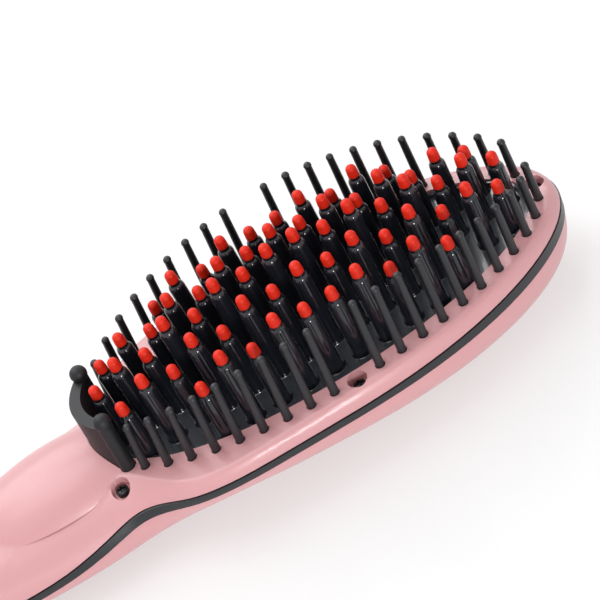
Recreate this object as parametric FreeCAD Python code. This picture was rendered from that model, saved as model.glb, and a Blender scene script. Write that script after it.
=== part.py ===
"""Electric hair straightening brush: an oval head of heated teeth ringed by nylon bristles, on a handle.

Millimetres. +X runs from the handle to the tip of the head, +Z is the bristle side, and the brush lies
on its back on z = 0. The origin is under the middle of the whole length.
"""
import FreeCAD, Part
import math
import os

V = FreeCAD.Vector
X_AXIS = V(1, 0, 0)
Z_AXIS = V(0, 0, 1)

# Overall lengths along X
TOTAL_LENGTH = 270.0
GLAND_REACH = 7.0
TRIM_PROUD = 0.3

# Plan of the head, neck and handle
HEAD_WIDTH = 60.0
HEAD_FRONT = 63.7
SHOULDER_LENGTH = 66.0
NECK_WIDTH = 40.0
WAIST_WIDTH = 36.0
WAIST_BACK = 40.0
GRIP_WIDTH = 37.5
GRIP_BACK = 82.0
TAIL_WIDTH = 28.0
TAIL_ROUND = 11.0
TAIL_PULL = 8.4

# Shoulder between head and neck: share of its length back from the head, share of the flare left
SHOULDER_SHAPE = ((0.16, 0.98), (0.36, 0.93), (0.56, 0.83), (0.70, 0.62),
                  (0.80, 0.31), (0.89, 0.07), (1.0, 0.0))

# Heights of the body
RIM_Z = 22.6
TIP_DROP = 1.4
HANDLE_TOP = 21.3
SEAM_Z = 18.4
HANDLE_SEAM_Z = 11.5
BOWL_Z = 16.4
BOWL_DEPTH = 17.2
BOWL_FULLNESS = 2.06
BOWL_FULLNESS_CHANGE = 0.95
BOWL_FULLNESS_LEAST = 1.5
HANDLE_MID_Z = 10.9
HANDLE_HALF = 11.3
WALL = 2.2
FLOOR = 2.0
ROOF_Z = 19.4
RIM_ROUND = 3.0

# Crown of the neck behind the guard
NECK_CROWN_BACK = 71.0
NECK_CROWN_Z = 14.0
NECK_CROWN_SIZE = (60.0, 30.0, 24.6)

# Trim strip in the seam
TRIM_HEIGHT = 1.9
TRIM_TIP_EXTRA = 1.2
TRIM_GAP = 0.25

# Ring of nylon bristles round the head
RING_LENGTH = 118.4
RING_WIDTH = 52.0
PLACE_PITCH = 5.9
BRISTLE_PLACES = 21
SIDE_SCREW_PLACE = 12
BRISTLE_FOOT = 2.2
BRISTLE_TIP = 1.8
BRISTLE_BALL = 1.9
BRISTLE_RISE = 19.6
BRISTLE_LEAN = 0.08
BRISTLE_LEAN_SHIFT = 31.0
BRISTLE_CLEARANCE = 0.15
CROWN = 0.003
STRIP_WIDTH = 2.8
STRIP_THICK = 1.4
STRIP_CLEARANCE = 0.2

# Guard wall at the neck end of the ring
GUARD_THICK = 2.8
GUARD_RISE = 12.8
GUARD_POST = 3.6
GUARD_BALL = 4.2
GUARD_POST_RISE = 13.9
GUARD_SPREAD = 18.8
GUARD_LEAN = 0.06
GUARD_CLEARANCE = 0.12

# Opening in the rim and the heated plate in it
OPENING_LENGTH = 114.0
OPENING_WIDTH = 46.4
PLATE_Z = 20.2
PLATE_THICK = 1.8
PLATE_GAP = 0.3
FLANGE_REACH = 0.6
LIP_WIDTH = 0.7
LIP_HEIGHT = 1.0

# Field of heated teeth
TOOTH_PITCH = 7.0
TOOTH_ROW_PITCH = 8.25
TOOTH_ROWS = (0, 1, -1, 2, -2)
TOOTH_LAST = (15, 14, 9)
TALL_STEP = (1, 0, 3)
TOOTH_RISE = 23.9
TOOTH_CROWN_SHIFT = -4.0
TOOTH_ROW_DROP = 2.1
TOOTH_STEP = 3.9
TOOTH_STEP_SMALL = 2.2
TOOTH_FOOT = 5.2
TOOTH_FOOT_RISE = 1.6
TOOTH_BASE = 4.4
TOOTH_SHOULDER = 4.0
TOOTH_NECK = 3.0
TOOTH_CHAMFER = 1.5
TOOTH_CLEARANCE = 0.05
TIP_WIDTH = 2.8
TIP_HEIGHT = 3.2
TIP_SKIRT = 2.0
TIP_SHARE = 0.92

# Shell screws
SCREW_RECESS = 4.8
SCREW_RECESS_DEPTH = 2.9
SCREW_HEAD = 3.8
SCREW_HEAD_HEIGHT = 1.5
SCREW_SHANK = 2.6
SCREW_LENGTH = 6.0
SCREW_FIT = 0.04
BOSS_WIDTH = 5.8
BOSS_SEAT = 2.9
BOSS_CLEARANCE = 0.1
NECK_SCREW_BACK = 59.0
NECK_SCREW_SPREAD = 26.4
TIP_SCREW_INSET = 4.0

# Heater under the plate
HEATER_LENGTH = 78.0
HEATER_WIDTH = 14.0
HEATER_THICK = 2.0
CLAMP_LENGTH = 100.0
CLAMP_WIDTH = 9.0
CLAMP_THICK = 1.2
CLAMP_BOSS = 6.0
CLAMP_SCREW_SPREAD = 90.0
CLAMP_SCREW_BITE = 2.6
PILLAR_SPREAD_X = 64.0
PILLAR_SPREAD_Y = 25.0
PILLAR_WIDTH = 5.0
PAD_WIDTH = 6.0
PAD_THICK = 1.5
SHIELD_Z = 9.6
SHIELD_THICK = 0.6
SHIELD_LENGTH = 92.0
SHIELD_WIDTH = 34.0
SHIELD_CLEARANCE = 0.4
SHIELD_SCREW_SPREAD = 66.0
SENSOR_WIDTH = 2.4
SENSOR_LENGTH = 6.0
SENSOR_SIDE = 10.0
FUSE_WIDTH = 3.6
FUSE_LENGTH = 11.0
CONTACT_GAP = 0.02
LEAD_WIDTH = 1.6
LEAD_SPREAD = 8.4
LEAD_RUN = 13.5
LEAD_DROP_RUN = 12.0
LEAD_LOW_Z = 15.0
LEAD_END = 6.0

# Small screws inside
SMALL_HEAD = 4.4
SMALL_HEAD_HEIGHT = 1.4
SMALL_SHANK = 2.4
SMALL_LENGTH = 5.0

# Control board, display and buttons in the handle
BOARD_BACK = 23.0
BOARD_LENGTH = 74.0
BOARD_WIDTH = 22.0
BOARD_Z = 11.6
BOARD_THICK = 1.6
BOARD_SCREW_INSET = 3.2
DISPLAY_BACK = 42.0
DISPLAY_SIZE = (22.0, 10.4, 3.6)
WINDOW_LENGTH = 22.0
WINDOW_WIDTH = 11.0
WINDOW_THICK = 1.1
WINDOW_LEDGE = 1.6
WINDOW_SINK = 0.1
WINDOW_CLEARANCE = 0.1
BUTTON_BACK = {"plus_button": 62.0, "minus_button": 74.0, "power_button": 87.0}
BUTTON_WIDTH = {"plus_button": 7.4, "minus_button": 7.4, "power_button": 8.6}
BUTTON_CLEARANCE = 0.2
BUTTON_PROUD = 0.9
BUTTON_TRAVEL = 0.4
BUTTON_SPARE = 0.1
BUTTON_FLANGE = 1.0
BUTTON_FLANGE_THICK = 1.0
BUTTON_ROOF = 2.3
BUTTON_DISH = 0.4
BUTTON_ROUND = 0.6
SWITCH_SIDE = 6.0
PLUNGER_WIDTH = 3.4
PLUNGER_HEIGHT = 0.8
CAPACITOR_SIZE = (12.0, 6.0, 7.0)
TRIAC_SIZE = (10.0, 8.0, 4.2)
COMPONENT_BACK = 20.0

# Cord swivel at the tail
BUSH_WIDTH = 12.0
BUSH_LENGTH = 9.0
BUSH_FLANGE = 14.0
BUSH_FLANGE_THICK = 1.5
BUSH_FIT = 0.02
GLAND_NECK = 8.0
GLAND_BELL = 12.4
GLAND_MOUTH = 9.0
GLAND_ROUND = 1.5
GLAND_BORE = 5.6
GLAND_FIT = 0.05
GLAND_END_PLAY = 0.3
CLIP_WIDTH = 11.0
CLIP_THICK = 0.8
CLIP_END = 1.2

# Places worked out from the sizes above
TIP_X = TOTAL_LENGTH / 2 - TRIM_PROUD
TAIL_X = GLAND_REACH - TOTAL_LENGTH / 2
HEAD_X = TIP_X - HEAD_FRONT
NECK_X = HEAD_X - SHOULDER_LENGTH
PLATE_LOW = PLATE_Z - PLATE_THICK
HEATER_LOW = PLATE_LOW - HEATER_THICK
CLAMP_LOW = HEATER_LOW - CLAMP_THICK
BOARD_TOP = BOARD_Z + BOARD_THICK
BOARD_FRONT_X = NECK_X - BOARD_BACK
BOARD_X = BOARD_FRONT_X - BOARD_LENGTH / 2
BUSH_END_X = TAIL_X + BUSH_LENGTH
WINDOW_X = NECK_X - DISPLAY_BACK
BUTTON_FLANGE_TOP = HANDLE_TOP - BUTTON_ROOF - BUTTON_SPARE
BUTTON_LOW = BUTTON_FLANGE_TOP - BUTTON_FLANGE_THICK
PLUNGER_TOP = BUTTON_LOW - BUTTON_TRAVEL - BUTTON_SPARE


def ease(share):
    """Smooth step from 0 to 1."""
    share = min(1.0, max(0.0, share))
    return 0.5 - 0.5 * math.cos(math.pi * share)


def top_z(x):
    """Height of the front face: crowned over the head, level on the handle."""
    if x > HEAD_X:
        return RIM_Z - TIP_DROP * ((x - HEAD_X) / HEAD_FRONT) ** 2
    return RIM_Z - (RIM_Z - HANDLE_TOP) * ease((HEAD_X - x) / SHOULDER_LENGTH)


def seam_z(x):
    """Height of the parting line: high on the head, half way up the handle."""
    return SEAM_Z - (SEAM_Z - HANDLE_SEAM_Z) * ease((HEAD_X - x) / (0.75 * SHOULDER_LENGTH) - 0.8)


def trim_top(x):
    """Upper edge of the trim strip."""
    return seam_z(x) - TRIM_GAP


def trim_low(x):
    """Lower edge of the trim strip, which is taller towards the tip and sits on the rear shell."""
    return trim_top(x) - TRIM_HEIGHT - TRIM_TIP_EXTRA * max(0.0, (x - HEAD_X) / HEAD_FRONT)


def head_share(x):
    """1 on the head's bowl, 0 on the handle's oval section."""
    return 1 - ease((HEAD_X - x) / (0.38 * SHOULDER_LENGTH) - 1.63)


def head_factor(x, z):
    """Share of its full width that the head's bowl has at a height, fuller towards the tip."""
    power = max(BOWL_FULLNESS_LEAST, BOWL_FULLNESS + BOWL_FULLNESS_CHANGE * (x - HEAD_X) / HEAD_FRONT)
    depth = max(0.0, BOWL_Z - z) / BOWL_DEPTH
    return (1 - depth ** power) ** (1 / power)


def handle_factor(z):
    """Share of its full width that the handle's oval section has at a height."""
    return math.sqrt(max(0.02, 1 - ((z - HANDLE_MID_Z) / HANDLE_HALF) ** 2))


def half_plan():
    """Points (x, half width) of the plan, from the tail to the widest place of the head."""
    flare = (HEAD_WIDTH - NECK_WIDTH) / 2
    points = [(TAIL_X + 0.03 * TAIL_ROUND, 0.25 * TAIL_WIDTH),
              (TAIL_X + 0.28 * TAIL_ROUND, 0.41 * TAIL_WIDTH),
              (TAIL_X + TAIL_ROUND, 0.5 * TAIL_WIDTH),
              (NECK_X - GRIP_BACK, GRIP_WIDTH / 2),
              (NECK_X - WAIST_BACK, WAIST_WIDTH / 2)]
    for back, share in reversed(SHOULDER_SHAPE):
        points.append((HEAD_X - back * SHOULDER_LENGTH, NECK_WIDTH / 2 + share * flare))
    points.append((HEAD_X, HEAD_WIDTH / 2))
    return points


def closed_curve(points):
    """Smooth closed wire through points."""
    curve = Part.BSplineCurve()
    curve.interpolate(Points=points, PeriodicFlag=True)
    return Part.Wire([curve.toShape()])


def rim_inset(x, z):
    """How far the rounded edge of the head's front face draws the outline in at a height."""
    climb = min(1.0, max(0.0, 0.95 * (z - top_z(x) + RIM_ROUND) / RIM_ROUND))
    return head_share(x) * RIM_ROUND * (1 - math.sqrt(1 - climb * climb))


def plan_wire(z, inset, lift):
    """Outline of the body at a height, drawn in by inset, with the section's curve shrunk by lift."""
    on_handle = handle_factor(z + math.copysign(lift, z - HANDLE_MID_Z))
    pull = inset + TAIL_PULL * (1 - on_handle)
    side = []
    for x, half in half_plan():
        share = head_share(x)
        factor = share * head_factor(x, z - lift) + (1 - share) * on_handle
        draw = inset * min(1.0, half / TAIL_ROUND) + rim_inset(x, z)
        tail = max(0.0, 1 - (x - TAIL_X) / TAIL_ROUND)
        side.append((x + pull * tail, max(0.4, half * factor - draw)))
    half_head = HEAD_WIDTH / 2
    for degrees in (16, 32, 46, 59, 71, 81, 90):
        angle = math.radians(degrees)
        x = HEAD_X + HEAD_FRONT * math.sin(angle)
        on_head = head_factor(x, z - lift)
        draw = inset + rim_inset(x, z)
        reach = HEAD_FRONT - half_head * (1 - on_head) - draw
        side.append((HEAD_X + reach * math.sin(angle), (half_head * on_head - draw) * math.cos(angle)))
    near = [V(x, -y, z) for x, y in side]
    far = [V(x, y, z) for x, y in reversed(side[:-1])]
    return closed_curve([V(TAIL_X + pull, 0, z)] + near + far)


def body_loft(levels, inset, lift):
    """Solid through the body's outlines at the given heights."""
    return Part.makeLoft([plan_wire(z, inset, lift) for z in levels], True, False, False, 5)


def under(height):
    """Solid of everything below a height that varies along X."""
    steps = 36
    low = -RIM_Z
    xs = [0.6 * TOTAL_LENGTH * (2 * i / steps - 1) for i in range(steps + 1)]
    line = [V(x, -HEAD_WIDTH, height(x)) for x in xs]
    curve = Part.BSplineCurve()
    curve.interpolate(line)
    corners = [line[-1], V(xs[-1], -HEAD_WIDTH, low), V(xs[0], -HEAD_WIDTH, low), line[0]]
    edges = [curve.toShape()] + [Part.makeLine(a, b) for a, b in zip(corners, corners[1:])]
    return Part.Face(Part.Wire(edges)).extrude(V(0, 2 * HEAD_WIDTH, 0))


def post(x, y, low, high, width):
    """Upright cylinder."""
    return Part.makeCylinder(width / 2, high - low, V(x, y, low))


def rod(x, y, z, width, length):
    """Cylinder along X from x."""
    return Part.makeCylinder(width / 2, length, V(x, y, z), X_AXIS)


def box(x, y, low, size):
    """Block of size (x, y, z) centred on x, y and standing on low."""
    return Part.makeBox(size[0], size[1], size[2], V(x - size[0] / 2, y - size[1] / 2, low))


def oval(length, width, low, high):
    """Upright elliptical prism on the head's centre."""
    ellipse = Part.Ellipse(V(HEAD_X, 0, low), length / 2, width / 2)
    return Part.Face(Part.Wire([ellipse.toShape()])).extrude(V(0, 0, high - low))


def oval_ring(length, width, thick, low, high):
    """Upright elliptical ring, thick either side of its middle line taken together."""
    return oval(length + thick, width + thick, low, high).cut(oval(length - thick, width - thick, low, high))


def turned(points, base, axis):
    """Solid of revolution of (radius, distance) points; a third item marks the middle of an arc."""
    out = Z_AXIS if axis == X_AXIS else X_AXIS
    spots = [base + out * point[0] + axis * point[1] for point in points]
    edges = []
    start = 0
    while start < len(spots) - 1:
        if len(points[start + 1]) == 3:
            edges.append(Part.Arc(spots[start], spots[start + 1], spots[start + 2]).toShape())
            start += 2
        else:
            edges.append(Part.makeLine(spots[start], spots[start + 1]))
            start += 1
    edges.append(Part.makeLine(spots[-1], spots[0]))
    return Part.Face(Part.Wire(edges)).revolve(base, axis, 360)


def cap_middle(radius, rise):
    """Middle point (radius, height over the rim) of the arc that makes a spherical cap or dish."""
    ball = (radius * radius + rise * rise) / (2 * rise)
    angle = math.asin(radius / abs(ball)) / 2
    return abs(ball) * math.sin(angle), rise - ball + ball * math.cos(angle)


def circle_wire(x, y, z, width):
    """Level circle."""
    return Part.Wire([Part.Circle(V(x, y, z), Z_AXIS, width / 2).toShape()])


def screw(x, y, seat, length, head, head_height, shank, way):
    """Pan-head screw seated at a height, with its shank down (-1) or up (1)."""
    body = Part.makeCylinder(shank / 2, length, V(x, y, seat), Z_AXIS * way)
    return body.fuse(Part.makeCylinder(head / 2, head_height, V(x, y, seat), Z_AXIS * -way)).removeSplitter()


def ring_places():
    """Places at one pitch along the bristle ring from the tip: a list of (x, y) on the -Y side."""
    places = []
    steps = 4000
    run = 0.0
    last = V(RING_LENGTH / 2, 0, 0)
    for i in range(1, steps + 1):
        angle = math.pi * i / steps
        here = V(RING_LENGTH / 2 * math.cos(angle), -RING_WIDTH / 2 * math.sin(angle), 0)
        run += (here - last).Length
        last = here
        if run >= PLACE_PITCH * (len(places) + 1):
            places.append((HEAD_X + here.x, here.y))
    return places


def bristle_spots():
    """Feet of all the nylon bristles."""
    places = ring_places()[:BRISTLE_PLACES]
    near = [spot for number, spot in enumerate(places, 1) if number != SIDE_SCREW_PLACE]
    return near + [(x, -y) for x, y in near]


def bristle_top(x, y):
    """Middle of a bristle's ball end; it leans towards the middle of the head."""
    rise = RIM_Z + BRISTLE_RISE - CROWN * (x - HEAD_X) ** 2 - ROOF_Z
    lean = BRISTLE_LEAN * (HEAD_X + BRISTLE_LEAN_SHIFT - x) / (RING_LENGTH / 2)
    return V(x + lean * rise, y, ROOF_Z + rise)


def bristle_stem(x, y, extra):
    """Tapered stem of a bristle, or its hole when extra is its clearance."""
    top = bristle_top(x, y)
    foot = circle_wire(x, y, ROOF_Z, BRISTLE_FOOT + 2 * extra)
    high = circle_wire(top.x, top.y, top.z, BRISTLE_TIP + 2 * extra)
    return Part.makeLoft([foot, high], True, True)


def bristle(x, y):
    """One ball-ended bristle."""
    return bristle_stem(x, y, 0).fuse(Part.makeSphere(BRISTLE_BALL / 2, bristle_top(x, y)))


def guard(extra):
    """C-shaped wall on the ring's neck end with a ball-topped post at each end, or its slot."""
    foot = ROOF_Z
    inside = HEAD_X - RING_LENGTH / 2 * math.sqrt(1 - (GUARD_SPREAD / RING_WIDTH) ** 2)
    thick = GUARD_THICK + 2 * extra
    band = oval_ring(RING_LENGTH, RING_WIDTH, thick, foot, foot + 1)
    band = band.common(box(inside - HEAD_WIDTH / 2, 0, foot, (HEAD_WIDTH, GUARD_SPREAD, 1)))
    flat = [face for face in band.Faces if abs(face.CenterOfMass.z - foot) < 0.01][0]
    rise = RIM_Z + GUARD_RISE - foot
    wall = flat.extrude(V(GUARD_LEAN * rise, 0, rise))
    rise = RIM_Z + GUARD_POST_RISE - foot
    for y in (-GUARD_SPREAD / 2, GUARD_SPREAD / 2):
        disc = Part.Face(circle_wire(inside, y, foot, GUARD_POST + 2 * extra))
        wall = wall.fuse(disc.extrude(V(GUARD_LEAN * rise, 0, rise)))
        wall = wall.fuse(Part.makeSphere(GUARD_BALL / 2, V(inside + GUARD_LEAN * rise, y, foot + rise)))
    return wall


def tooth_spots():
    """Every heated tooth: (x, y, height of its neck)."""
    spots = []
    for row in TOOTH_ROWS:
        last = TOOTH_LAST[abs(row)]
        for step in range(-last, last + 1, 2):
            x = HEAD_X + step * TOOTH_PITCH / 2
            rise = TOOTH_RISE - CROWN * (x - HEAD_X - TOOTH_CROWN_SHIFT) ** 2 - TOOTH_ROW_DROP * abs(row)
            if abs(step) % 4 != TALL_STEP[abs(row)]:
                rise -= TOOTH_STEP if 3 < abs(step) < 14 else TOOTH_STEP_SMALL
            spots.append((x, row * TOOTH_ROW_PITCH, RIM_Z + rise - TIP_HEIGHT / 2))
    return spots


def tooth(x, y, neck):
    """Turned tooth with a hollow flare at its foot and a chamfered shoulder under its tip."""
    hollow = 1 - math.sqrt(0.5)
    flare = TOOTH_BASE / 2 + hollow * (TOOTH_FOOT - TOOTH_BASE) / 2
    profile = [(0, PLATE_Z), (TOOTH_FOOT / 2, PLATE_Z), (flare, PLATE_Z + hollow * TOOTH_FOOT_RISE, "arc"),
               (TOOTH_BASE / 2, PLATE_Z + TOOTH_FOOT_RISE),
               (TOOTH_SHOULDER / 2, neck - TOOTH_CHAMFER), (TOOTH_NECK / 2, neck), (0, neck)]
    return turned(profile, V(x, y, 0), Z_AXIS)


def tooth_tip(x, y, neck):
    """Bell-shaped cap on a tooth."""
    skirt = TIP_SHARE * TIP_WIDTH / 2
    dome = TIP_HEIGHT - TIP_SKIRT
    radius, rise = cap_middle(skirt, dome)
    profile = [(0, neck), (TIP_WIDTH / 2, neck), (skirt, neck + TIP_SKIRT),
               (radius, neck + TIP_SKIRT + rise, "arc"), (0, neck + TIP_HEIGHT)]
    return turned(profile, V(x, y, 0), Z_AXIS)


def shell_screw_spots():
    """Centres of the five shell screws: neck pair, side pair and tip."""
    side_x, side_y = ring_places()[SIDE_SCREW_PLACE - 1]
    neck_x = HEAD_X - NECK_SCREW_BACK
    spread = NECK_SCREW_SPREAD / 2
    tip_x = TIP_X - TIP_SCREW_INSET
    return [(neck_x, -spread), (neck_x, spread), (side_x, side_y), (side_x, -side_y), (tip_x, 0)]


def screw_seat(x):
    """Height of a shell screw's seat."""
    return top_z(x) - SCREW_RECESS_DEPTH


def boss_top(x):
    """Height where the front shell's screw tube meets the rear shell's boss."""
    return screw_seat(x) - BOSS_SEAT


def pillar_spots():
    """Rear shell pillars that hold the heated plate up against the rim."""
    return [(HEAD_X + i * PILLAR_SPREAD_X / 2, j * PILLAR_SPREAD_Y / 2) for i in (-1, 1) for j in (-1, 1)]


def shield_spots():
    """Screw posts of the heat shield."""
    return [(HEAD_X + i * SHIELD_SCREW_SPREAD / 2, 0) for i in (-1, 1)]


def board_spots():
    """Screw posts of the control board."""
    reach = (BOARD_LENGTH / 2 - BOARD_SCREW_INSET, BOARD_WIDTH / 2 - BOARD_SCREW_INSET)
    return [(BOARD_X + i * reach[0], j * reach[1]) for i in (-1, 1) for j in (-1, 1)]


def clamp_spots():
    """Screws of the heater clamp."""
    return [(HEAD_X + i * CLAMP_SCREW_SPREAD / 2, 0) for i in (-1, 1)]


def make_body():
    """Whole outside of both shells."""
    rim = [RIM_Z + RIM_ROUND * rise for rise in (-1.2, -0.85, -0.55, -0.3, -0.1, 0.15)]
    return body_loft([0, 0.8, 2, 4, 7, 10, 13, BOWL_Z] + rim, 0, 0).common(under(top_z))


def make_cavity():
    """Hollow inside both shells, closed at the tail by the block that holds the cord swivel."""
    levels = (FLOOR, 2.8, 4, 6, 9, 12, 15, 17.4, ROOF_Z)
    hollow = body_loft(levels, WALL, 0.8 * WALL)
    room = box(BUSH_END_X + TOTAL_LENGTH / 2, 0, 0, (TOTAL_LENGTH, 2 * HEAD_WIDTH, 2 * RIM_Z))
    return hollow.common(room)


def make_neck_crown():
    """Rounded swelling of the neck, from the ring of bristles back to the handle."""
    ball = Part.makeSphere(1)
    matrix = FreeCAD.Matrix()
    matrix.scale(*[size / 2 for size in NECK_CROWN_SIZE])
    crown = ball.transformGeometry(matrix)
    crown.translate(V(HEAD_X - NECK_CROWN_BACK, 0, NECK_CROWN_Z))
    low = box(HEAD_X - NECK_CROWN_BACK, 0, 0, (NECK_CROWN_SIZE[0], HEAD_WIDTH, ROOF_Z))
    return crown.cut([low, oval(RING_LENGTH, RING_WIDTH, 0, 2 * RIM_Z)])


def bush_hole():
    """Hole through the tail for the swivel's bush."""
    return rod(TAIL_X - GLAND_REACH, 0, HANDLE_MID_Z, BUSH_WIDTH + 2 * BUSH_FIT, GLAND_REACH + BUSH_LENGTH)


def make_front_shell(body, cavity):
    """Bristle-side shell: rim, neck top and handle top in one moulding."""
    shell = body.cut(under(seam_z)).cut(cavity).fuse(make_neck_crown())
    for x, y in shell_screw_spots():
        shell = shell.fuse(post(x, y, boss_top(x), ROOF_Z, BOSS_WIDTH).common(body))
    cuts = [oval(OPENING_LENGTH, OPENING_WIDTH, SEAM_Z, 2 * RIM_Z), guard(GUARD_CLEARANCE), bush_hole()]
    cuts += [bristle_stem(x, y, BRISTLE_CLEARANCE) for x, y in bristle_spots()]
    for x, y in shell_screw_spots():
        cuts.append(post(x, y, screw_seat(x), 2 * RIM_Z, SCREW_RECESS))
        cuts.append(post(x, y, 0, 2 * RIM_Z, SCREW_SHANK + 2 * SCREW_FIT))
    sunk = HANDLE_TOP - WINDOW_SINK - WINDOW_THICK
    cuts.append(box(WINDOW_X, 0, sunk, (WINDOW_LENGTH, WINDOW_WIDTH, RIM_Z)))
    sight = (WINDOW_LENGTH - 2 * WINDOW_LEDGE, WINDOW_WIDTH - 2 * WINDOW_LEDGE, RIM_Z)
    cuts.append(box(WINDOW_X, 0, SEAM_Z, sight))
    for name, back in BUTTON_BACK.items():
        x = NECK_X - back
        hole = BUTTON_WIDTH[name] + 2 * BUTTON_CLEARANCE
        cuts.append(post(x, 0, HANDLE_SEAM_Z, 2 * RIM_Z, hole))
        cuts.append(post(x, 0, HANDLE_SEAM_Z, HANDLE_TOP - BUTTON_ROOF, hole + 2 * BUTTON_FLANGE))
    return shell.cut(cuts)


def make_rear_shell(body, cavity):
    """Back shell: bowl and handle back, with bosses, pillars and posts."""
    shell = body.common(under(trim_low)).cut(cavity)
    root = FLOOR / 2
    posts = [post(x, y, root, PLATE_LOW - PAD_THICK, PILLAR_WIDTH) for x, y in pillar_spots()]
    posts += [post(x, y, root, SHIELD_Z, PILLAR_WIDTH) for x, y in shield_spots()]
    posts += [post(x, y, root, BOARD_Z, PILLAR_WIDTH) for x, y in board_spots()]
    posts += [post(x, y, root, boss_top(x), BOSS_WIDTH) for x, y in shell_screw_spots()]
    shell = shell.fuse([solid.common(body) for solid in posts])
    cuts = [bush_hole()]
    for x, y in shell_screw_spots():
        cuts.append(post(x, y, boss_top(x), RIM_Z, BOSS_WIDTH + 2 * BOSS_CLEARANCE))
        cuts.append(post(x, y, screw_seat(x) - SCREW_LENGTH, RIM_Z, SCREW_SHANK + 2 * SCREW_FIT))
    for x, y in shield_spots():
        cuts.append(post(x, y, SHIELD_Z - SMALL_LENGTH, RIM_Z, SMALL_SHANK + 2 * SCREW_FIT))
    for x, y in board_spots():
        cuts.append(post(x, y, BOARD_TOP - SMALL_LENGTH, RIM_Z, SMALL_SHANK + 2 * SCREW_FIT))
    return shell.cut(cuts)


def make_trim_band(cavity):
    """Strip in the seam, standing a little proud of both shells."""
    levels = (4, 7, 10, 13, BOWL_Z, SEAM_Z, 20)
    band = body_loft(levels, -TRIM_PROUD, 0).common(under(trim_top)).cut(under(trim_low)).cut(cavity)
    cuts = [bush_hole()]
    cuts += [post(x, y, 0, RIM_Z, BOSS_WIDTH + 2 * BOSS_CLEARANCE) for x, y in shell_screw_spots()]
    return band.cut(cuts)


def make_bristle_strips():
    """Carrier strips of the bristles under the rim, parted at the screw tubes."""
    ring = oval_ring(RING_LENGTH, RING_WIDTH, STRIP_WIDTH, ROOF_Z - STRIP_THICK, ROOF_Z)
    tube = BOSS_WIDTH + 2 * STRIP_CLEARANCE
    return ring.cut([post(x, y, 0, RIM_Z, tube) for x, y in shell_screw_spots()])


def make_heating_plate():
    """Heated plate with a flange under the rim, a lip round its face and bosses for the heater clamp."""
    gap = 2 * PLATE_GAP
    length = OPENING_LENGTH - gap
    width = OPENING_WIDTH - gap
    lip = oval(length, width, PLATE_Z, PLATE_Z + LIP_HEIGHT)
    lip = lip.cut(oval(length - 2 * LIP_WIDTH, width - 2 * LIP_WIDTH, PLATE_Z, PLATE_Z + LIP_HEIGHT))
    foot = TOOTH_FOOT + 2 * TOOTH_CLEARANCE
    inner = (length / 2 - LIP_WIDTH - foot / 2, width / 2 - LIP_WIDTH - foot / 2)
    for x, y, neck in tooth_spots():
        if ((x - HEAD_X) / inner[0]) ** 2 + (y / inner[1]) ** 2 > 1:
            lip = lip.cut(post(x, y, PLATE_Z, RIM_Z, foot))
    plate = oval(length, width, PLATE_LOW, PLATE_Z)
    reach = 2 * FLANGE_REACH
    plate = plate.fuse(oval(OPENING_LENGTH + reach, OPENING_WIDTH + reach, PLATE_LOW, ROOF_Z))
    plate = plate.fuse(lip.Solids)
    for x, y in clamp_spots():
        plate = plate.fuse(post(x, y, HEATER_LOW, PLATE_LOW, CLAMP_BOSS))
    depth = HEATER_LOW + CLAMP_SCREW_BITE
    cuts = [post(x, y, HEATER_LOW, depth, SMALL_SHANK + 2 * SCREW_FIT) for x, y in clamp_spots()]
    cuts += [post(x, y, PLATE_LOW, ROOF_Z, BOSS_WIDTH + 2 * STRIP_CLEARANCE) for x, y in shell_screw_spots()]
    return plate.cut(cuts)


def make_heater_clamp():
    """Spring strip that presses the heater to the plate."""
    strip = box(HEAD_X, 0, CLAMP_LOW, (CLAMP_LENGTH, CLAMP_WIDTH, CLAMP_THICK))
    return strip.cut([post(x, y, 0, RIM_Z, SMALL_SHANK + 2 * SCREW_FIT) for x, y in clamp_spots()])


def make_heat_shield():
    """Thin sheet between the heater and the back of the bowl."""
    sheet = oval(SHIELD_LENGTH, SHIELD_WIDTH, SHIELD_Z, SHIELD_Z + SHIELD_THICK)
    holes = [post(x, y, 0, RIM_Z, PILLAR_WIDTH + 2 * SHIELD_CLEARANCE) for x, y in pillar_spots()]
    holes += [post(x, y, 0, RIM_Z, SMALL_SHANK + 2 * SCREW_FIT) for x, y in shield_spots()]
    return sheet.cut(holes)


def lead(side):
    """Insulated wire from the heater's end down through the neck to the control board."""
    y = side * LEAD_SPREAD / 2
    start = HEAD_X - HEATER_LENGTH / 2
    board_z = BOARD_TOP + LEAD_WIDTH / 2 + CONTACT_GAP
    mid_z = HEATER_LOW + HEATER_THICK / 2
    points = [V(start, y, mid_z), V(start - LEAD_RUN, y, mid_z),
              V(start - LEAD_RUN - LEAD_DROP_RUN, y, LEAD_LOW_Z),
              V(BOARD_FRONT_X + LEAD_END, y, board_z), V(BOARD_FRONT_X - LEAD_END, y, board_z)]
    edges = []
    last = points[0]
    for before, here, after in zip(points, points[1:], points[2:]):
        back = before - here
        ahead = after - here
        reach = 0.4 * min(back.Length, ahead.Length)
        first = here + back.normalize() * reach
        end = here + ahead.normalize() * reach
        turn = back.getAngle(ahead) / 2
        centre = here + (back + ahead).normalize() * (reach / math.cos(turn))
        middle = centre + (here - centre).normalize() * (reach * math.tan(turn))
        edges.append(Part.makeLine(last, first))
        edges.append(Part.Arc(first, middle, end).toShape())
        last = end
    edges.append(Part.makeLine(last, points[-1]))
    section = Part.Wire([Part.Circle(points[0], X_AXIS, LEAD_WIDTH / 2).toShape()])
    return Part.Wire(edges).makePipeShell([section], True, False)


def make_control_board():
    """Circuit board on the rear shell's posts."""
    board = box(BOARD_X, 0, BOARD_Z, (BOARD_LENGTH, BOARD_WIDTH, BOARD_THICK))
    return board.cut([post(x, y, 0, RIM_Z, SMALL_SHANK + 2 * SCREW_FIT) for x, y in board_spots()])


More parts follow.
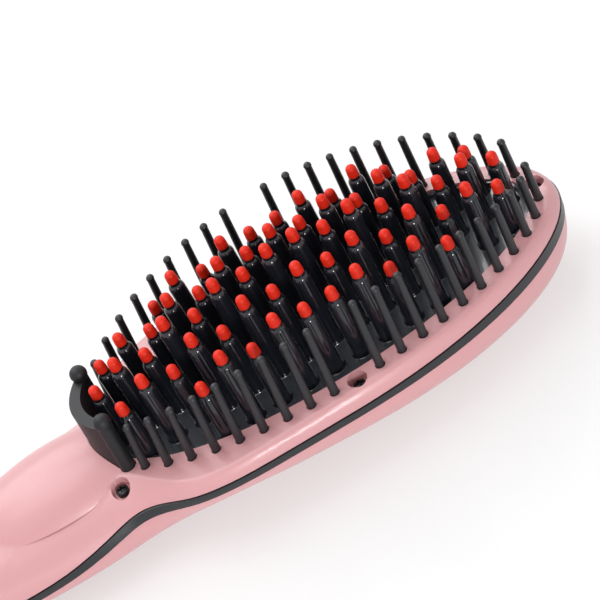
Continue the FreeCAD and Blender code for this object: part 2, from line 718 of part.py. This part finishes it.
def make_window():
    """Clear pane over the display, sunk into the handle's top."""
    size = (WINDOW_LENGTH - 2 * WINDOW_CLEARANCE, WINDOW_WIDTH - 2 * WINDOW_CLEARANCE, WINDOW_THICK)
    return box(WINDOW_X, 0, HANDLE_TOP - WINDOW_SINK - WINDOW_THICK, size)


def make_button(name):
    """Dished push button with a flange under the handle's top."""
    half = BUTTON_WIDTH[name] / 2
    wide = half + BUTTON_FLANGE - BUTTON_CLEARANCE
    high = HANDLE_TOP + BUTTON_PROUD
    radius, sink = cap_middle(half - BUTTON_ROUND, -BUTTON_DISH)
    profile = [(0, BUTTON_LOW), (wide, BUTTON_LOW), (wide, BUTTON_FLANGE_TOP), (half, BUTTON_FLANGE_TOP),
               (half, high - BUTTON_ROUND), (half - BUTTON_ROUND, high),
               (radius, high + sink, "arc"), (0, high - BUTTON_DISH)]
    return turned(profile, V(NECK_X - BUTTON_BACK[name], 0, 0), Z_AXIS)


def make_switch(name):
    """Tact switch under a button."""
    x = NECK_X - BUTTON_BACK[name]
    case = box(x, 0, BOARD_TOP, (SWITCH_SIDE, SWITCH_SIDE, PLUNGER_TOP - PLUNGER_HEIGHT - BOARD_TOP))
    return case.fuse(post(x, 0, PLUNGER_TOP - PLUNGER_HEIGHT, PLUNGER_TOP, PLUNGER_WIDTH))


def make_bush():
    """Fixed bush in the tail that the cord gland turns in."""
    tube = rod(TAIL_X, 0, HANDLE_MID_Z, BUSH_WIDTH, BUSH_LENGTH)
    tube = tube.fuse(rod(BUSH_END_X, 0, HANDLE_MID_Z, BUSH_FLANGE, BUSH_FLANGE_THICK))
    return tube.cut(rod(TAIL_X, 0, HANDLE_MID_Z, GLAND_NECK + 2 * GLAND_FIT, BUSH_LENGTH + BUSH_FLANGE_THICK))


def clip_x():
    """Near face of the gland's retaining clip."""
    return BUSH_END_X + BUSH_FLANGE_THICK + GLAND_END_PLAY


def make_gland():
    """Turning cord gland with a rounded bell outside and a bore for the cord."""
    outer = -TOTAL_LENGTH / 2
    seat = TAIL_X - GLAND_END_PLAY
    end = clip_x() + CLIP_THICK + CLIP_END
    bore = GLAND_BORE / 2
    bell = GLAND_BELL / 2
    mouth = GLAND_MOUTH / 2
    profile = [(bore, outer), (mouth, outer), (0.8 * bell + 0.2 * mouth, 0.35 * seat + 0.65 * outer, "arc"),
               (bell, seat - GLAND_ROUND), (bell, seat), (GLAND_NECK / 2, seat), (GLAND_NECK / 2, end),
               (bore, end)]
    return turned(profile, V(0, 0, HANDLE_MID_Z), X_AXIS)


def make_clip():
    """Ring on the gland's inner end that keeps it in the bush."""
    ring = rod(clip_x(), 0, HANDLE_MID_Z, CLIP_WIDTH, CLIP_THICK)
    return ring.cut(rod(clip_x(), 0, HANDLE_MID_Z, GLAND_NECK, CLIP_THICK))


def small_screws(spots, seat, length, way):
    """Group of the small screws used inside."""
    sizes = (length, SMALL_HEAD, SMALL_HEAD_HEIGHT, SMALL_SHANK, way)
    return group([screw(x, y, seat, *sizes) for x, y in spots])


def group(solids):
    """Separate solids as one shape."""
    return Part.Compound(solids)


def make_parts():
    """Every node of the brush by name."""
    body = make_body()
    cavity = make_cavity()
    teeth = tooth_spots()
    screws = [screw(x, y, screw_seat(x), SCREW_LENGTH, SCREW_HEAD, SCREW_HEAD_HEIGHT, SCREW_SHANK, -1)
              for x, y in shell_screw_spots()]
    sensor_z = PLATE_LOW - SENSOR_WIDTH / 2 - CONTACT_GAP
    fuse_z = PLATE_LOW - FUSE_WIDTH / 2 - CONTACT_GAP
    pads = [post(x, y, PLATE_LOW - PAD_THICK, PLATE_LOW, PAD_WIDTH) for x, y in pillar_spots()]
    part_x = BOARD_FRONT_X - COMPONENT_BACK
    parts = {
        "front_shell": make_front_shell(body, cavity),
        "rear_shell": make_rear_shell(body, cavity),
        "trim_band": make_trim_band(cavity),
        "shell_screws": group(screws),
        "bristle_strips": make_bristle_strips(),
        "edge_bristles": group([bristle(x, y) for x, y in bristle_spots()]),
        "neck_guard": guard(0),
        "heating_plate": make_heating_plate(),
        "heating_teeth": group([tooth(x, y, neck) for x, y, neck in teeth]),
        "tooth_tips": group([tooth_tip(x, y, neck) for x, y, neck in teeth]),
        "plate_pads": group(pads),
        "heater_element": box(HEAD_X, 0, HEATER_LOW, (HEATER_LENGTH, HEATER_WIDTH, HEATER_THICK)),
        "heater_clamp": make_heater_clamp(),
        "clamp_screws": small_screws(clamp_spots(), CLAMP_LOW, CLAMP_THICK + CLAMP_SCREW_BITE, 1),
        "heat_shield": make_heat_shield(),
        "shield_screws": small_screws(shield_spots(), SHIELD_Z + SHIELD_THICK, SMALL_LENGTH, -1),
        "thermistor": rod(HEAD_X, SENSOR_SIDE, sensor_z, SENSOR_WIDTH, SENSOR_LENGTH),
        "thermal_fuse": rod(HEAD_X, -SENSOR_SIDE, fuse_z, FUSE_WIDTH, FUSE_LENGTH),
        "heater_leads": group([lead(-1), lead(1)]),
        "control_board": make_control_board(),
        "board_screws": small_screws(board_spots(), BOARD_TOP, SMALL_LENGTH, -1),
        "supply_capacitor": box(part_x, 0, BOARD_Z - CAPACITOR_SIZE[2], CAPACITOR_SIZE),
        "power_triac": box(part_x - COMPONENT_BACK, 0, BOARD_Z - TRIAC_SIZE[2], TRIAC_SIZE),
        "display_module": box(WINDOW_X, 0, BOARD_TOP, DISPLAY_SIZE),
        "display_window": make_window(),
        "tact_switches": group([make_switch(name) for name in BUTTON_BACK]),
        "gland_bush": make_bush(),
        "swivel_gland": make_gland(),
        "gland_clip": make_clip(),
    }
    parts.update({name: make_button(name) for name in BUTTON_BACK})
    return parts


os.makedirs("parts", exist_ok=True)
for node, shape in make_parts().items():
    shape.exportStep("parts/" + node + ".step")
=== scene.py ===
"""Looks of the electric hair straightening brush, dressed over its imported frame.

Metres, in the part's own axes: +X runs from the handle to the tip and +Z is the bristle side.
"""
import bmesh
import bpy
import math
from mathutils import Matrix, Vector
from mathutils.bvhtree import BVHTree


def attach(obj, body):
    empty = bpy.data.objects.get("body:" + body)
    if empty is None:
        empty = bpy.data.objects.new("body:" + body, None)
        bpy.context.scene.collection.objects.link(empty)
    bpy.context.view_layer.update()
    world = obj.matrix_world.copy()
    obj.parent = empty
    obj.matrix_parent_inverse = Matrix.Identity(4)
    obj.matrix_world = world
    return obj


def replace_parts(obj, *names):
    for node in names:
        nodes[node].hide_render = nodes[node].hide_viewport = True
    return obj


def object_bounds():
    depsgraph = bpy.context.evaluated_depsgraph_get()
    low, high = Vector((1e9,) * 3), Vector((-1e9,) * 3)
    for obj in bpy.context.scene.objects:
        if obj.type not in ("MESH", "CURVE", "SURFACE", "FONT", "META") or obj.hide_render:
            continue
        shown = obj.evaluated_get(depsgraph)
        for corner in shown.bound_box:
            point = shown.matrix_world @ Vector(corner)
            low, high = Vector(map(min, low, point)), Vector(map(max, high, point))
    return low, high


MM = 0.001
UP = Vector((0, 0, 1))

# Camera at the photograph's viewing angle; angles in degrees, lens and sensor in millimetres
CAMERA_PLACE = Vector((47.8, -280.6, 271.8)) * MM
CAMERA_AZIMUTH = 4.32
CAMERA_ELEVATION = 40.86
CAMERA_ROLL = -28.88
CAMERA_LENS = 97.0
CAMERA_SENSOR = 36.0
CAMERA_NEAR = 10 * MM

# Studio: level of the white surroundings as light, and share of plain white in the floor under
# the part
SKY_LIGHT = 0.41
FLOOR_WHITE = 0.5
FLOOR_REACH = 3.0
FLOOR_DROP = 0.02 * MM
WHITE = (1, 1, 1, 1)

# Lamps: place, side of the square and watts. All are aimed at the head.
AIM = Vector((70.0, 0.0, 20.0)) * MM
LAMPS = {
    "front": ((0.027, -0.57, 0.190), 0.12, 1.35),
    "top": ((-0.12, 0.10, 0.75), 0.50, 2.1),
    "left": ((-0.35, -0.25, 0.70), 0.45, 0.3),
    "right": ((0.30, 0.60, 0.53), 0.30, 1.3),
    "back": ((-0.20, 0.60, 0.60), 0.60, 2.9),
}

# Linear colours
PINK = (0.690, 0.345, 0.362)
TRIM_GREY = (0.013, 0.0145, 0.018)
NYLON_GREY = (0.009, 0.0102, 0.0135)
RUBBER_BLACK = (0.010, 0.011, 0.013)
COAT_BLACK = (0.011, 0.0125, 0.018)
PLATE_BLACK = (0.042, 0.047, 0.056)
TIP_RED = (0.76, 0.023, 0.007)
SCREW_BLACK = (0.020, 0.020, 0.022)
STEEL = (0.55, 0.56, 0.58)
ALUMINIUM = (0.72, 0.73, 0.74)
CERAMIC = (0.80, 0.79, 0.75)
SILICONE = (0.62, 0.60, 0.57)
GLASS_AMBER = (0.55, 0.25, 0.08)
BOARD_GREEN = (0.015, 0.13, 0.045)
PART_BLACK = (0.012, 0.012, 0.013)
PART_BLUE = (0.02, 0.06, 0.25)
LEAD_WHITE = (0.75, 0.75, 0.73)
WINDOW_DARK = (0.004, 0.004, 0.005)
SIGN_DARK = (0.22, 0.05, 0.06)
FLOOR_PALE = (0.93, 0.93, 0.93)

# Detail of every finish: broad drift of the colour, drift of the gloss and depth of the grain
DRIFT_SCALE = 60.0
DRIFT_DETAIL = 3.0
GLOSS_DRIFT = 0.15
GRAIN_DETAIL = 5.0
GRAIN_DEPTH = 0.05 * MM

# Look of each finish. Names with a capital are settings of the shader.
LOOKS = {
    "pink_plastic": dict(colour=PINK, roughness=0.36, grain=900.0, relief=0.03, change=0.02,
                         Coat_Weight=0.15, Coat_Roughness=0.08),
    "button_pink": dict(colour=PINK, roughness=0.34, grain=1600.0, relief=0.06, change=0.02),
    "trim_grey": dict(colour=TRIM_GREY, roughness=0.36),
    "nylon_grey": dict(colour=NYLON_GREY, roughness=0.44, grain=2500.0, relief=0.15),
    "guard_black": dict(colour=RUBBER_BLACK, roughness=0.50, grain=2200.0, relief=0.12,
                        Specular_IOR_Level=0.35),
    "gland_black": dict(colour=RUBBER_BLACK, roughness=0.42, grain=1800.0, relief=0.15),
    "coated_black": dict(colour=COAT_BLACK, roughness=0.30, grain=700.0, relief=0.02,
                         Specular_IOR_Level=0.10,
                         Coat_Weight=1.0, Coat_Roughness=0.05, Coat_IOR=1.5),
    "plate_black": dict(colour=PLATE_BLACK, roughness=0.22, grain=180.0, relief=1.0,
                        Coat_Weight=0.4),
    "tip_red": dict(colour=TIP_RED, roughness=0.46, grain=2500.0, relief=0.10,
                    Specular_IOR_Level=0.30),
    "screw_black": dict(colour=SCREW_BLACK, roughness=0.32, Metallic=0.7),
    "steel": dict(colour=STEEL, roughness=0.34, Metallic=1.0),
    "aluminium": dict(colour=ALUMINIUM, roughness=0.40, grain=800.0, relief=0.15, Metallic=1.0),
    "heater_white": dict(colour=CERAMIC, roughness=0.55),
    "silicone": dict(colour=SILICONE, roughness=0.60, grain=2200.0, relief=0.12),
    "glass_bead": dict(colour=GLASS_AMBER, roughness=0.12, Coat_Weight=0.5),
    "board_green": dict(colour=BOARD_GREEN, roughness=0.30, grain=600.0, relief=0.12, change=0.20),
    "component_black": dict(colour=PART_BLACK, roughness=0.45),
    "component_blue": dict(colour=PART_BLUE, roughness=0.30),
    "lead_white": dict(colour=LEAD_WHITE, roughness=0.50),
    "window_dark": dict(colour=WINDOW_DARK, roughness=0.06, grain=300.0, relief=0.01),
    "sign_dark": dict(colour=SIGN_DARK, roughness=0.50),
    "floor_pale": dict(colour=FLOOR_PALE, roughness=0.70, grain=40.0, relief=0.0, change=0.01),
}

# Finish of every CAD node that is shown as it is
FINISHES = {
    "pink_plastic": ("front_shell", "rear_shell"),
    "button_pink": ("plus_button", "minus_button", "power_button"),
    "trim_grey": ("trim_band",),
    "guard_black": ("neck_guard",),
    "gland_black": ("swivel_gland", "gland_bush"),
    "nylon_grey": ("bristle_strips",),
    "plate_black": ("heating_plate",),
    "window_dark": ("display_window",),
    "heater_white": ("heater_element", "thermal_fuse"),
    "steel": ("heater_clamp", "clamp_screws", "shield_screws", "board_screws", "gland_clip"),
    "aluminium": ("heat_shield",),
    "silicone": ("plate_pads",),
    "glass_bead": ("thermistor",),
    "lead_white": ("heater_leads",),
    "board_green": ("control_board",),
    "component_blue": ("supply_capacitor",),
    "component_black": ("power_triac", "display_module", "tact_switches"),
}

# Edges sharper than this many degrees stay crisp; the front shell's swellings run softly into
# each other
CREASE = 30
SOFT_CREASE = 55

# Reading the CAD nodes: points nearer than this are one point, or lie on one level
SPOT_DIGITS = 6
WELD_REACH = 0.001 * MM
LEVEL_REACH = 0.01 * MM

# Steps along a round profile, the flare of a tooth and the rolled edge of a cap
ROUND_STEPS = 8
FLARE_STEPS = 6
EDGE_STEPS = 4

# Heated teeth and their caps
TOOTH_FLARE = 1.6 * MM
TOOTH_BASE = 2.2 * MM
TOOTH_SHOULDER = 2.0 * MM
TOOTH_ROUND = 1.9 * MM
TOOTH_TURN = 46
TOOTH_COLLAR = 0.7 * MM
TOOTH_SEGMENTS = 36
CAP_EDGE = 0.15 * MM
CAP_SKIRT = 0.8 * MM
CAP_WAIST = 1.95 * MM
CAP_NARROW = 0.95
CAP_SEGMENTS = 28

# Bristles: radius under the ball, and height of the end that the ball is read from
BRISTLE_TIP = 0.9 * MM
BRISTLE_END = 1.5 * MM
BRISTLE_SEGMENTS = 24

# Cross-head screws; the head and its cross are shares of the solid's and the head's radius
HEAD_SHARE = 0.80
HEAD_RINGS = 16
HEAD_SEGMENTS = 72
HEAD_HEIGHT = 1.5 * MM
HEAD_DOME = 0.35 * MM
HEAD_FALL = 3
CROSS_WIDTH = 0.17
CROSS_REACH = 0.62
CROSS_DEPTH = 0.6 * MM
SHANK = 1.3 * MM
SHANK_POINT = 0.9 * MM

# Signs on the buttons; the power sign's ring is open by this angle to each side, and its stroke
# starts at this share of the ring's radius
SIGN_REACH = 1.5 * MM
SIGN_STROKE = 0.5 * MM
SIGN_LIFT = 0.03 * MM
SIGN_STEPS = 24
POWER_GAP = 40
POWER_START = 0.25

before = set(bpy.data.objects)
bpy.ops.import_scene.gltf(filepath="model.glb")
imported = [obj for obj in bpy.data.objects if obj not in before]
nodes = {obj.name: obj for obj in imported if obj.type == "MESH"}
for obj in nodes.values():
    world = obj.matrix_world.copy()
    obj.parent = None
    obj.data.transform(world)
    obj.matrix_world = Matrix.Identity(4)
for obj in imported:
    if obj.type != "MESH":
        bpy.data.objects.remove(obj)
cad_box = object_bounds()


def noise(tree, scale, detail):
    """Noise over the object's own coordinates."""
    place = tree.nodes.new("ShaderNodeTexCoord")
    texture = tree.nodes.new("ShaderNodeTexNoise")
    texture.inputs["Scale"].default_value = scale
    texture.inputs["Detail"].default_value = detail
    tree.links.new(place.outputs["Object"], texture.inputs["Vector"])
    return texture.outputs["Fac"]


def spread(tree, source, low, high):
    """Maps a value from 0 to 1 onto a range."""
    node = tree.nodes.new("ShaderNodeMapRange")
    node.inputs["To Min"].default_value = low
    node.inputs["To Max"].default_value = high
    tree.links.new(source, node.inputs["Value"])
    return node.outputs["Result"]


def tint(tree, source, colour, change):
    """Colour that drifts a little with a value."""
    mix = tree.nodes.new("ShaderNodeMix")
    mix.data_type = "RGBA"
    mix.inputs["A"].default_value = [channel * (1 - change) for channel in colour] + [1]
    mix.inputs["B"].default_value = [channel * (1 + change) for channel in colour] + [1]
    tree.links.new(source, mix.inputs["Factor"])
    return mix.outputs["Result"]


def surface(name, colour, roughness, grain=1500.0, relief=0.08, change=0.06, **settings):
    """Material whose colour and gloss drift a little over a fine moulded grain."""
    material = bpy.data.materials.new(name + "_finish")
    material.use_nodes = True
    tree = material.node_tree
    shader = tree.nodes["Principled BSDF"]
    fine = noise(tree, grain, GRAIN_DETAIL)
    drift = tint(tree, noise(tree, DRIFT_SCALE, DRIFT_DETAIL), colour, change)
    gloss = spread(tree, fine, (1 - GLOSS_DRIFT) * roughness, (1 + GLOSS_DRIFT) * roughness)
    bump = tree.nodes.new("ShaderNodeBump")
    bump.inputs["Strength"].default_value = relief
    bump.inputs["Distance"].default_value = GRAIN_DEPTH
    tree.links.new(fine, bump.inputs["Height"])
    tree.links.new(drift, shader.inputs["Base Color"])
    tree.links.new(gloss, shader.inputs["Roughness"])
    tree.links.new(bump.outputs["Normal"], shader.inputs["Normal"])
    for setting, value in settings.items():
        shader.inputs[setting.replace("_", " ")].default_value = value
    return material


def eased(low, high, wide, narrow):
    """Profile that goes softly from a wide radius to a narrow one between two heights."""
    shares = [i / ROUND_STEPS for i in range(ROUND_STEPS + 1)]
    return [(low + (high - low) * t, wide - (wide - narrow) * t * t * (3 - 2 * t)) for t in shares]


def rounded(high, wide, bend, turn):
    """Profile of a round shoulder that turns in by some degrees and ends at a height."""
    angles = [math.radians(turn) * i / ROUND_STEPS for i in range(ROUND_STEPS + 1)]
    low = high - bend * math.sin(angles[-1])
    return [(low + bend * math.sin(a), wide - bend * (1 - math.cos(a))) for a in angles]


def quarter(steps):
    """Sine and cosine over a quarter turn."""
    angles = [math.pi / 2 * i / steps for i in range(steps + 1)]
    return [(math.sin(a), math.cos(a)) for a in angles]


def dome(base, radius, rise):
    """Profile of a round end above a base height, up to its pole on the axis."""
    side = [(base + rise * s, radius * c) for s, c in quarter(ROUND_STEPS)[:-1]]
    return side + [(base + rise, 0.0)]


def flare(wide, narrow, rise):
    """Profile of a hollow flare from a wide foot up to a narrow stem."""
    return [(rise * (1 - c), wide - (wide - narrow) * s) for s, c in quarter(FLARE_STEPS)]


def rolled(wide, bend):
    """Profile of a rolled lower edge, from the flat underside out to the full radius."""
    return [(bend * (1 - c), wide - bend * (1 - s)) for s, c in quarter(EDGE_STEPS)]


def ring(bm, centre, radius, segments):
    """Level ring of new points, or one point on the axis."""
    if radius == 0:
        return [bm.verts.new(centre)]
    turns = [2 * math.pi * i / segments for i in range(segments)]
    return [bm.verts.new(centre + radius * Vector((math.cos(a), math.sin(a), 0))) for a in turns]


def skin(bm, rings, segments):
    """Faces between rings that follow each other; a single point counts as a ring."""
    for low, high in zip(rings, rings[1:]):
        for i in range(segments):
            j = i + 1
            corners = [low[i % len(low)], low[j % len(low)],
                       high[j % len(high)], high[i % len(high)]]
            bm.faces.new([v for k, v in enumerate(corners) if v not in corners[:k]])


def add_turned(bm, foot, top, profile, segments):
    """Adds a turned form on the line from foot to top; profile is (height over foot, radius)."""
    rise = top.z - foot.z
    rings = [ring(bm, foot.lerp(top, height / rise), radius, segments)
             for height, radius in profile]
    skin(bm, rings, segments)


def piece(name, bm, finish, body="brush_body"):
    """Smooth object from a mesh under construction, riding on a body, with a finish."""
    bmesh.ops.recalc_face_normals(bm, faces=bm.faces)
    mesh = bpy.data.meshes.new(name)
    bm.to_mesh(mesh)
    bm.free()
    mesh.shade_smooth()
    mesh.set_sharp_from_angle(angle=math.radians(CREASE))
    mesh.materials.append(materials[finish])
    thing = bpy.data.objects.new(name, mesh)
    bpy.context.scene.collection.objects.link(thing)
    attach(thing, body)
    return thing


def solids(node):
    """Points of each separate solid of a CAD node."""
    mesh = nodes[node].data
    spots = {}
    number = []
    for vertex in mesh.vertices:
        spot = tuple(round(c, SPOT_DIGITS) for c in vertex.co)
        number.append(spots.setdefault(spot, len(spots)))
    leader = list(range(len(spots)))

    def find(i):
        while leader[i] != i:
            leader[i] = leader[leader[i]]
            i = leader[i]
        return i

    for polygon in mesh.polygons:
        first = find(number[polygon.vertices[0]])
        for vertex in polygon.vertices[1:]:
            leader[find(number[vertex])] = first
    groups = {}
    for spot, i in spots.items():
        groups.setdefault(find(i), []).append(Vector(spot))
    return list(groups.values())


def level(points, height):
    """Centre and radius of the points of a solid at a height."""
    near = [p for p in points if abs(p.z - height) < LEVEL_REACH]
    centre = sum(near, Vector()) / len(near)
    return centre, max((p - centre).to_2d().length for p in near)


def ends(points):
    """Centre and radius of a solid's lowest level and of its highest."""
    heights = [p.z for p in points]
    return level(points, min(heights)) + level(points, max(heights))


def paint(node, finish, angle):
    """CAD node with a finish, smooth over the edges under an angle."""
    thing = nodes[node]
    thing.data.materials.clear()
    thing.data.materials.append(materials[finish])
    thing.data.shade_smooth()
    weld = thing.modifiers.new("weld", "WELD")
    weld.merge_threshold = WELD_REACH
    crease = thing.modifiers.new("crease", "EDGE_SPLIT")
    crease.split_angle = math.radians(angle)
    even = thing.modifiers.new("even", "WEIGHTED_NORMAL")
    even.mode = "FACE_AREA"


def make_teeth():
    """Heated teeth: hollow flare, slim taper, round shoulder and a short collar."""
    bm = bmesh.new()
    for points in solids("heating_teeth"):
        foot, wide, top, _ = ends(points)
        high = top.z - foot.z
        profile = flare(wide, TOOTH_BASE, TOOTH_FLARE)
        profile += rounded(high - TOOTH_COLLAR, TOOTH_SHOULDER, TOOTH_ROUND, TOOTH_TURN)
        profile += [(high, profile[-1][1]), (high, 0.0)]
        add_turned(bm, foot, top, profile, TOOTH_SEGMENTS)
    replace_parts(piece("heating_teeth_turned", bm, "coated_black"), "heating_teeth")


def make_caps():
    """Red caps: rolled lower edge, full skirt, soft waist and a blunt round end."""
    bm = bmesh.new()
    for points in solids("tooth_tips"):
        foot, wide, top, _ = ends(points)
        high = top.z - foot.z
        narrow = CAP_NARROW * wide
        profile = [(0, 0.0)] + rolled(wide, CAP_EDGE)
        profile += eased(CAP_SKIRT, CAP_WAIST, wide, narrow)[:-1]
        profile += dome(CAP_WAIST, narrow, high - CAP_WAIST)
        add_turned(bm, foot, top, profile, CAP_SEGMENTS)
    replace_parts(piece("tooth_tip_caps", bm, "tip_red"), "tooth_tips")


def make_bristles():
    """Nylon bristles: a plain taper with a ball end."""
    bm = bmesh.new()
    for points in solids("edge_bristles"):
        foot, wide, pole, _ = ends(points)
        crown = [p for p in points if p.z > pole.z - BRISTLE_END]
        ball = max((p - pole).to_2d().length for p in crown)
        middle = pole - ball * UP
        high = middle.z - foot.z
        below = math.sqrt(ball ** 2 - BRISTLE_TIP ** 2)
        profile = [(0, 0.0), (0, wide), (high / 2, (wide + BRISTLE_TIP) / 2)]
        profile += [(high - below, BRISTLE_TIP)] + dome(high, ball, ball)
        add_turned(bm, foot, middle, profile, BRISTLE_SEGMENTS)
    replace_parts(piece("edge_bristle_pins", bm, "nylon_grey"), "edge_bristles")


def cross_sink(share, angle):
    """How far a screw head's face lies under its top, at a share of its radius."""
    across = share * min(abs(math.sin(angle)), abs(math.cos(angle)))
    along = share * max(abs(math.sin(angle)), abs(math.cos(angle)))
    slot = CROSS_DEPTH if across < CROSS_WIDTH and along < CROSS_REACH else 0.0
    return slot + HEAD_DOME * share ** HEAD_FALL


def make_screws():
    """Shell screws: a low domed head with a cross recess over a plain shank."""
    bm = bmesh.new()
    for points in solids("shell_screws"):
        heights = [p.z for p in points]
        top, _ = level(points, max(heights))
        tip, _ = level(points, min(heights))
        wide = HEAD_SHARE * max((p - top).to_2d().length for p in points)
        rings = [[bm.verts.new(top - CROSS_DEPTH * UP)]]
        for i in range(1, HEAD_RINGS + 1):
            face = ring(bm, top, wide * i / HEAD_RINGS, HEAD_SEGMENTS)
            for j, v in enumerate(face):
                v.co.z -= cross_sink(i / HEAD_RINGS, 2 * math.pi * j / HEAD_SEGMENTS)
            rings.append(face)
        under = top - HEAD_HEIGHT * UP
        point = tip + SHANK_POINT * UP
        for centre, radius in ((under, wide), (under, SHANK), (point, SHANK), (tip, 0)):
            rings.append(ring(bm, centre, radius, HEAD_SEGMENTS))
        skin(bm, rings, HEAD_SEGMENTS)
    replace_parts(piece("shell_screw_heads", bm, "screw_black"), "shell_screws")


def bar(turn):
    """Straight stroke through the middle of a sign."""
    reach = Vector((math.cos(turn), math.sin(turn), 0)) * SIGN_REACH
    return [reach * (2 * i / SIGN_STEPS - 1) for i in range(SIGN_STEPS + 1)]


def power_ring():
    """Open ring of the power sign, open towards the tip."""
    start = math.radians(POWER_GAP)
    length = 2 * math.pi - 2 * start
    turns = [start + length * i / SIGN_STEPS for i in range(SIGN_STEPS + 1)]
    return [Vector((math.cos(a), math.sin(a), 0)) * SIGN_REACH for a in turns]


def power_line():
    """Stroke of the power sign, in the ring's opening."""
    shares = [POWER_START + i / SIGN_STEPS for i in range(SIGN_STEPS + 1)]
    return [Vector((SIGN_REACH * share, 0, 0)) for share in shares]


def make_sign(button, strokes):
    """Printed sign that follows the dished top of a button, found by rays from above."""
    mesh = nodes[button].data
    points = [v.co for v in mesh.vertices]
    tree = BVHTree.FromPolygons(points, [p.vertices for p in mesh.polygons])
    low = Vector(map(min, zip(*points)))
    high = Vector(map(max, zip(*points)))
    above = Vector(((low.x + high.x) / 2, (low.y + high.y) / 2, 2 * high.z))
    bm = bmesh.new()
    for stroke in strokes:
        rows = []
        for before, here, after in zip(stroke[:1] + stroke, stroke, stroke[1:] + stroke[-1:]):
            side = (after - before).normalized().cross(UP) * SIGN_STROKE / 2
            spots = [tree.ray_cast(above + here + side * k, -UP)[0] for k in (-1, 0, 1)]
            rows.append([bm.verts.new(spot + SIGN_LIFT * UP) for spot in spots])
        for near, far in zip(rows, rows[1:]):
            for k in (0, 1):
                bm.faces.new([near[k], near[k + 1], far[k + 1], far[k]])
    piece(button + "_sign", bm, "sign_dark", button)


def seen_rays(tree):
    """1 for what the camera sees, straight or in gloss and glass; 0 for what lights the part."""
    rays = tree.nodes.new("ShaderNodeLightPath")
    seen = rays.outputs["Is Camera Ray"]
    for name in ("Is Glossy Ray", "Is Transmission Ray"):
        either = tree.nodes.new("ShaderNodeMath")
        either.operation = "MAXIMUM"
        tree.links.new(seen, either.inputs[0])
        tree.links.new(rays.outputs[name], either.inputs[1])
        seen = either.outputs["Value"]
    return seen


def whiten(material):
    """Fades a floor into plain white within a metre; near the part it keeps the shadow."""
    tree = material.node_tree
    place = tree.nodes.new("ShaderNodeTexCoord")
    away = tree.nodes.new("ShaderNodeVectorMath")
    away.operation = "LENGTH"
    tree.links.new(place.outputs["Object"], away.inputs[0])
    share = tree.nodes.new("ShaderNodeMath")
    share.operation = "MULTIPLY"
    tree.links.new(spread(tree, away.outputs["Value"], FLOOR_WHITE, 1.0), share.inputs[0])
    tree.links.new(seen_rays(tree), share.inputs[1])
    glow = tree.nodes.new("ShaderNodeEmission")
    mix = tree.nodes.new("ShaderNodeMixShader")
    tree.links.new(share.outputs["Value"], mix.inputs["Fac"])
    tree.links.new(tree.nodes["Principled BSDF"].outputs["BSDF"], mix.inputs[1])
    tree.links.new(glow.outputs["Emission"], mix.inputs[2])
    tree.links.new(mix.outputs["Shader"], tree.nodes["Material Output"].inputs["Surface"])


def make_floor():
    """Pale floor just under the part."""
    bm = bmesh.new()
    low = cad_box[0][2] - FLOOR_DROP
    corners = ((-1, -1), (1, -1), (1, 1), (-1, 1))
    bm.faces.new([bm.verts.new((x * FLOOR_REACH, y * FLOOR_REACH, low)) for x, y in corners])
    mesh = bpy.data.meshes.new("floor")
    bm.to_mesh(mesh)
    bm.free()
    whiten(materials["floor_pale"])
    mesh.materials.append(materials["floor_pale"])
    floor = bpy.data.objects.new("floor", mesh)
    bpy.context.scene.collection.objects.link(floor)


def make_sky():
    """White surroundings, dimmer as light."""
    world = bpy.data.worlds.new("studio")
    world.use_nodes = True
    bpy.context.scene.world = world
    tree = world.node_tree
    backdrop = tree.nodes["Background"]
    backdrop.inputs["Color"].default_value = WHITE
    tree.links.new(spread(tree, seen_rays(tree), SKY_LIGHT, 1.0), backdrop.inputs["Strength"])


def add_lamp(name, place, side, watts):
    """Square soft lamp aimed at the head."""
    light = bpy.data.lights.new(name, "AREA")
    light.size = side
    light.energy = watts
    lamp = bpy.data.objects.new(name, light)
    lamp.location = place
    lamp.rotation_euler = (AIM - Vector(place)).to_track_quat("-Z", "Y").to_euler()
    bpy.context.scene.collection.objects.link(lamp)


def make_camera():
    """Camera by azimuth, elevation and roll."""
    azimuth = math.radians(CAMERA_AZIMUTH)
    elevation = math.radians(CAMERA_ELEVATION)
    roll = math.radians(CAMERA_ROLL)
    flat = Vector((math.sin(azimuth), math.cos(azimuth), 0))
    ahead = flat * math.cos(elevation) - math.sin(elevation) * UP
    across = Vector((math.cos(azimuth), -math.sin(azimuth), 0))
    right = across * math.cos(roll) + across.cross(ahead) * math.sin(roll)
    turn = Matrix((right, right.cross(ahead), -ahead)).transposed()
    data = bpy.data.cameras.new("camera")
    data.lens = CAMERA_LENS
    data.sensor_width = CAMERA_SENSOR
    data.clip_start = CAMERA_NEAR
    camera = bpy.data.objects.new("camera", data)
    camera.matrix_world = Matrix.Translation(CAMERA_PLACE) @ turn.to_4x4()
    bpy.context.scene.collection.objects.link(camera)
    bpy.context.scene.camera = camera


materials = {name: surface(name, **look) for name, look in LOOKS.items()}
for finish, painted in FINISHES.items():
    for node in painted:
        paint(node, finish, SOFT_CREASE if node == "front_shell" else CREASE)
make_teeth()
make_caps()
make_bristles()
make_screws()
make_sign("plus_button", [bar(0), bar(math.pi / 2)])
make_sign("minus_button", [bar(math.pi / 2)])
make_sign("power_button", [power_ring(), power_line()])
make_floor()
make_sky()
for name, (place, side, watts) in LAMPS.items():
    add_lamp(name, place, side, watts)
make_camera()
bpy.context.scene.view_settings.view_transform = "Standard"
